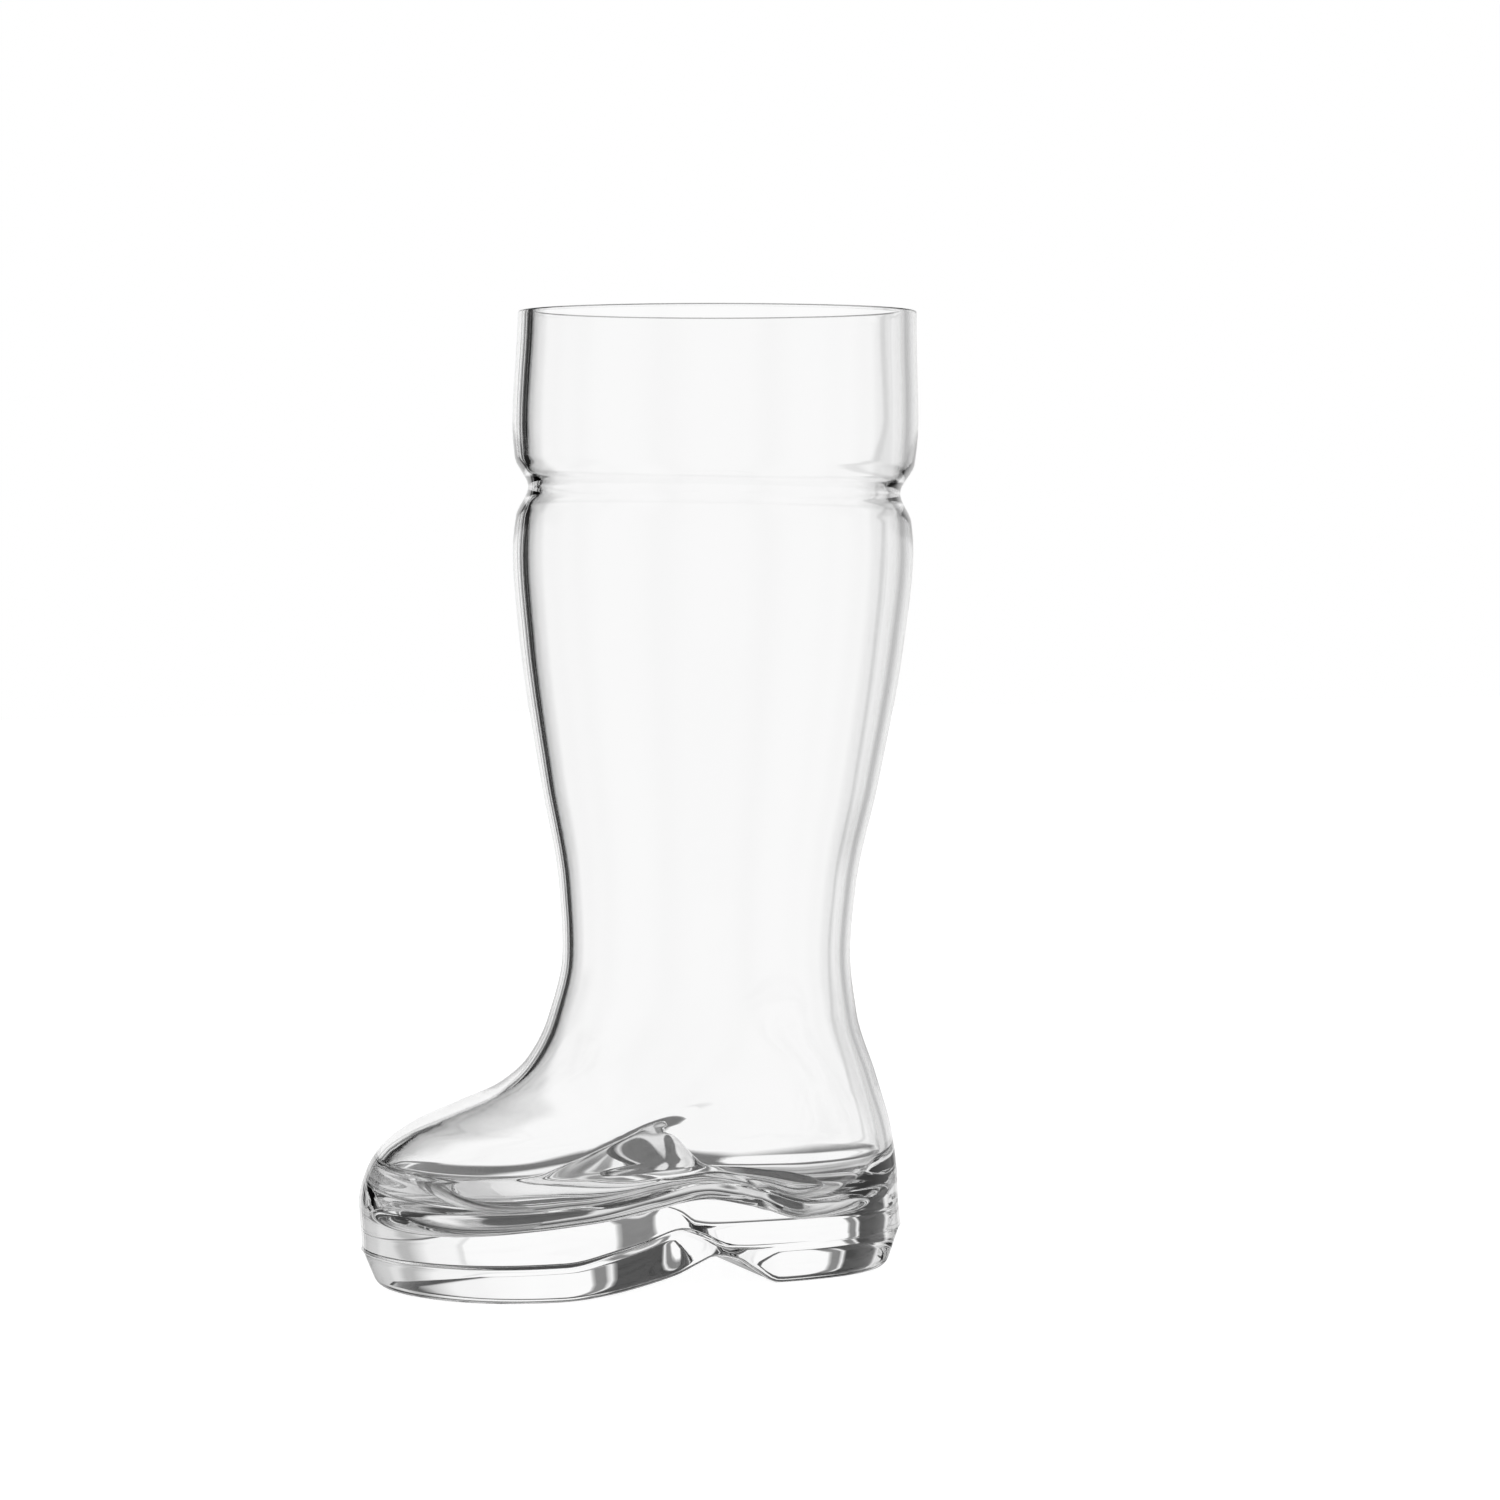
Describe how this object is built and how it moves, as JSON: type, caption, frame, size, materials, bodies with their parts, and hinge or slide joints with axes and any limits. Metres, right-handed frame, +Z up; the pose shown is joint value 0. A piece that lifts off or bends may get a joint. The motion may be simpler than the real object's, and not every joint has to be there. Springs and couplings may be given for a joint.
{
  "type": "boot-shaped drinking glass",
  "caption": "Clear blown glass in the shape of a boot, with a grooved cuff, a waisted ankle and a thick arched sole, for drinking beer.",
  "frame": {"origin": "middle of the footprint box, on the table the glass stands on", "axes": "+Z up out of the mouth; -X from the heel to the toe; Y across, with left and right halves mirrored in the plane y = 0"},
  "size_m": [0.1363, 0.0972, 0.2311],
  "materials": {
    "glass": "clear soda-lime glass, mould-blown, fire-polished and glossy"
  },
  "bodies": {
    "root": {"rim": "glass", "cuff": "glass", "groove": "glass", "leg": "glass", "ankle": "glass", "instep": "glass", "upper": "glass", "sole": "glass", "fore_tread": "glass", "heel_tread": "glass"}
  },
  "joints": []
}
